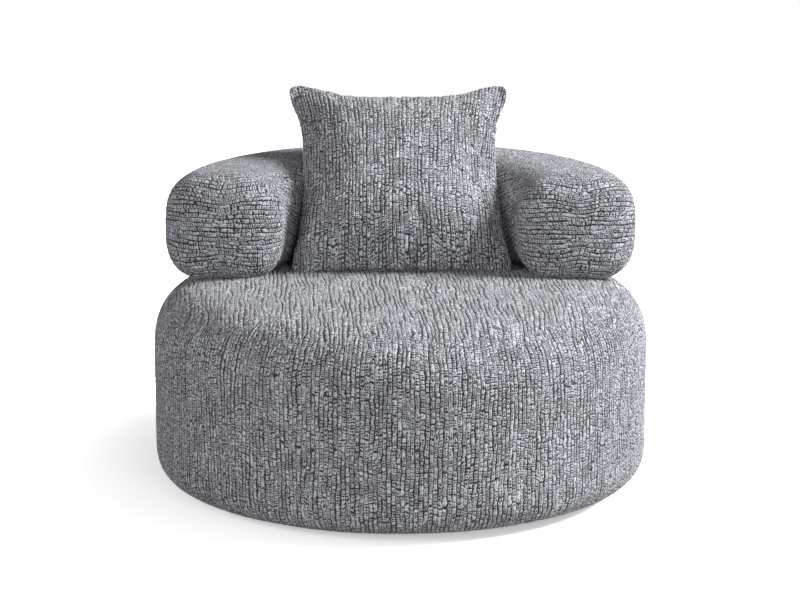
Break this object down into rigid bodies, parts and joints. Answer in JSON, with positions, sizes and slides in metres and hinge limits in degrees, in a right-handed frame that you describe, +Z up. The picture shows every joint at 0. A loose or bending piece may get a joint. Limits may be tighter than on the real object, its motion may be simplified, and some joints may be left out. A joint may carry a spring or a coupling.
{
  "type": "cuddle chair",
  "caption": "Round upholstered swivel chair: a drum seat on a ball-bearing floor board, a C-shaped bolster that is both back and arms, and a loose scatter cushion.",
  "frame": {"origin": "on the floor, on the swivel's axis under the middle of the round seat", "axes": "+Z up, the sitter faces -Y, +X is to the right of someone who looks at the front of the chair"},
  "size_m": [1.1, 1.1, 0.8506],
  "materials": {
    "chenille": "matte",
    "black_cloth": "matte",
    "foam": "matte",
    "soft_filling": "matte",
    "webbing": "matte",
    "plywood": "satin",
    "timber": "matte",
    "hardboard": "satin",
    "zinc_steel": "satin",
    "nylon": "matte"
  },
  "bodies": {
    "floor_base": {"floor_board": "plywood", "glide_1": "nylon", "glide_2": "nylon", "glide_3": "nylon", "glide_4": "nylon", "glide_5": "nylon", "glide_6": "nylon", "swivel_lower_plate": "zinc_steel", "swivel_lower_screw_1": "zinc_steel", "swivel_lower_screw_2": "zinc_steel", "swivel_lower_screw_3": "zinc_steel", "king_bolt": "zinc_steel", "king_nut": "zinc_steel"},
    "ball_race": {"swivel_ball_cage": "zinc_steel"},
    "seat_unit": {"base_board": "plywood", "swivel_upper_plate": "zinc_steel", "swivel_upper_screw_1": "zinc_steel", "swivel_upper_screw_2": "zinc_steel", "swivel_upper_screw_3": "zinc_steel", "frame_post_1": "timber", "frame_post_2": "timber", "frame_post_3": "timber", "frame_post_4": "timber", "frame_post_5": "timber", "frame_post_6": "timber", "deck_ring": "plywood", "wall_panel": "hardboard", "seat_strap_length_1": "webbing", "seat_strap_length_2": "webbing", "seat_strap_length_3": "webbing", "seat_strap_length_4": "webbing", "seat_strap_cross_1": "webbing", "seat_strap_cross_2": "webbing", "seat_strap_cross_3": "webbing", "side_foam": "foam", "seat_core_foam": "foam", "seat_top_foam": "soft_filling", "drum_cover": "chenille", "dust_cover": "black_cloth", "back_riser_1": "timber", "back_riser_2": "timber", "back_riser_3": "timber", "back_riser_4": "timber", "back_coach_screw_1": "zinc_steel", "back_coach_screw_2": "zinc_steel", "back_coach_screw_3": "zinc_steel", "back_coach_screw_4": "zinc_steel", "back_lower_rail": "plywood", "back_upper_rail": "plywood", "back_rib_1": "plywood", "back_rib_2": "plywood", "back_rib_3": "plywood", "back_rib_4": "plywood", "back_rib_5": "plywood", "back_foam": "foam", "back_cover": "chenille"},
    "scatter_cushion": {"cushion_cover": "chenille", "cushion_filling": "soft_filling", "cushion_zip_tape": "black_cloth"},
    "zip_slider": {"cushion_zip_slider": "zinc_steel"}
  },
  "joints": [
    {"name": "seat_swivel", "type": "hinge", "parent": "floor_base", "child": "seat_unit", "pos_m": [0, 0, 0.0268], "axis": [0, 0, 1], "continuous": true},
    {"name": "ball_race_roll", "type": "hinge", "parent": "floor_base", "child": "ball_race", "pos_m": [0, 0, 0.0268], "axis": [0, 0, 1], "continuous": true},
    {"name": "cushion_lift", "type": "slide", "parent": "seat_unit", "child": "scatter_cushion", "axis": [0, 0, 1], "range_m": [0, 0.4]},
    {"name": "zip_slide", "type": "slide", "parent": "scatter_cushion", "child": "zip_slider", "axis": [1, 0, 0], "range_m": [0, 0.33]}
  ],
  "couplings": [
    {"joint": "ball_race_roll", "follows": "seat_swivel", "ratio": 0.5}
  ]
}
